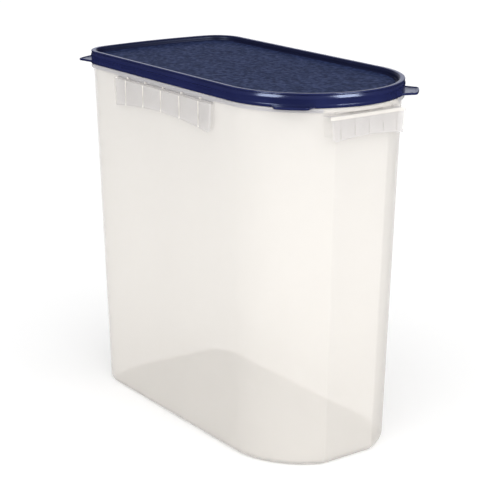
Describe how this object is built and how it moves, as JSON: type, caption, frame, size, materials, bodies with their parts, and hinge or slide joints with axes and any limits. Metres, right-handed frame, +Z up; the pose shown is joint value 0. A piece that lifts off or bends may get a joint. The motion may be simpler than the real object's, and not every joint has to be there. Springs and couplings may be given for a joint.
{
  "type": "modular storage container",
  "caption": "Tall D-shaped dry-food container in milky see-through plastic, with ribbed grip skirts under the flange and a dark blue press-on lid with lift tabs.",
  "frame": {"origin": "on the underside of the base, plumb under the centre of the lid", "axes": "+X along the length towards the round end, +Y across the width, +Z up"},
  "size_m": [0.4109, 0.206, 0.398],
  "materials": {
    "container_plastic": "milky and see-through, smooth with a soft sheen",
    "lid_plastic": "dark navy blue, glossy rim and a finely grained panel"
  },
  "bodies": {
    "container": {"container_shell": "container_plastic", "grip_near_side": "container_plastic", "grip_far_side": "container_plastic", "grip_round_end": "container_plastic"},
    "lid": {"lid_rim": "lid_plastic", "lid_panel": "lid_plastic", "lift_tab_back_near": "lid_plastic", "lift_tab_back_far": "lid_plastic", "lift_tab_front_near": "lid_plastic", "lift_tab_front_far": "lid_plastic"}
  },
  "joints": [
    {"name": "lid_lift", "type": "slide", "parent": "container", "child": "lid", "axis": [0, 0, 1], "range_m": [0, 0.2]}
  ]
}
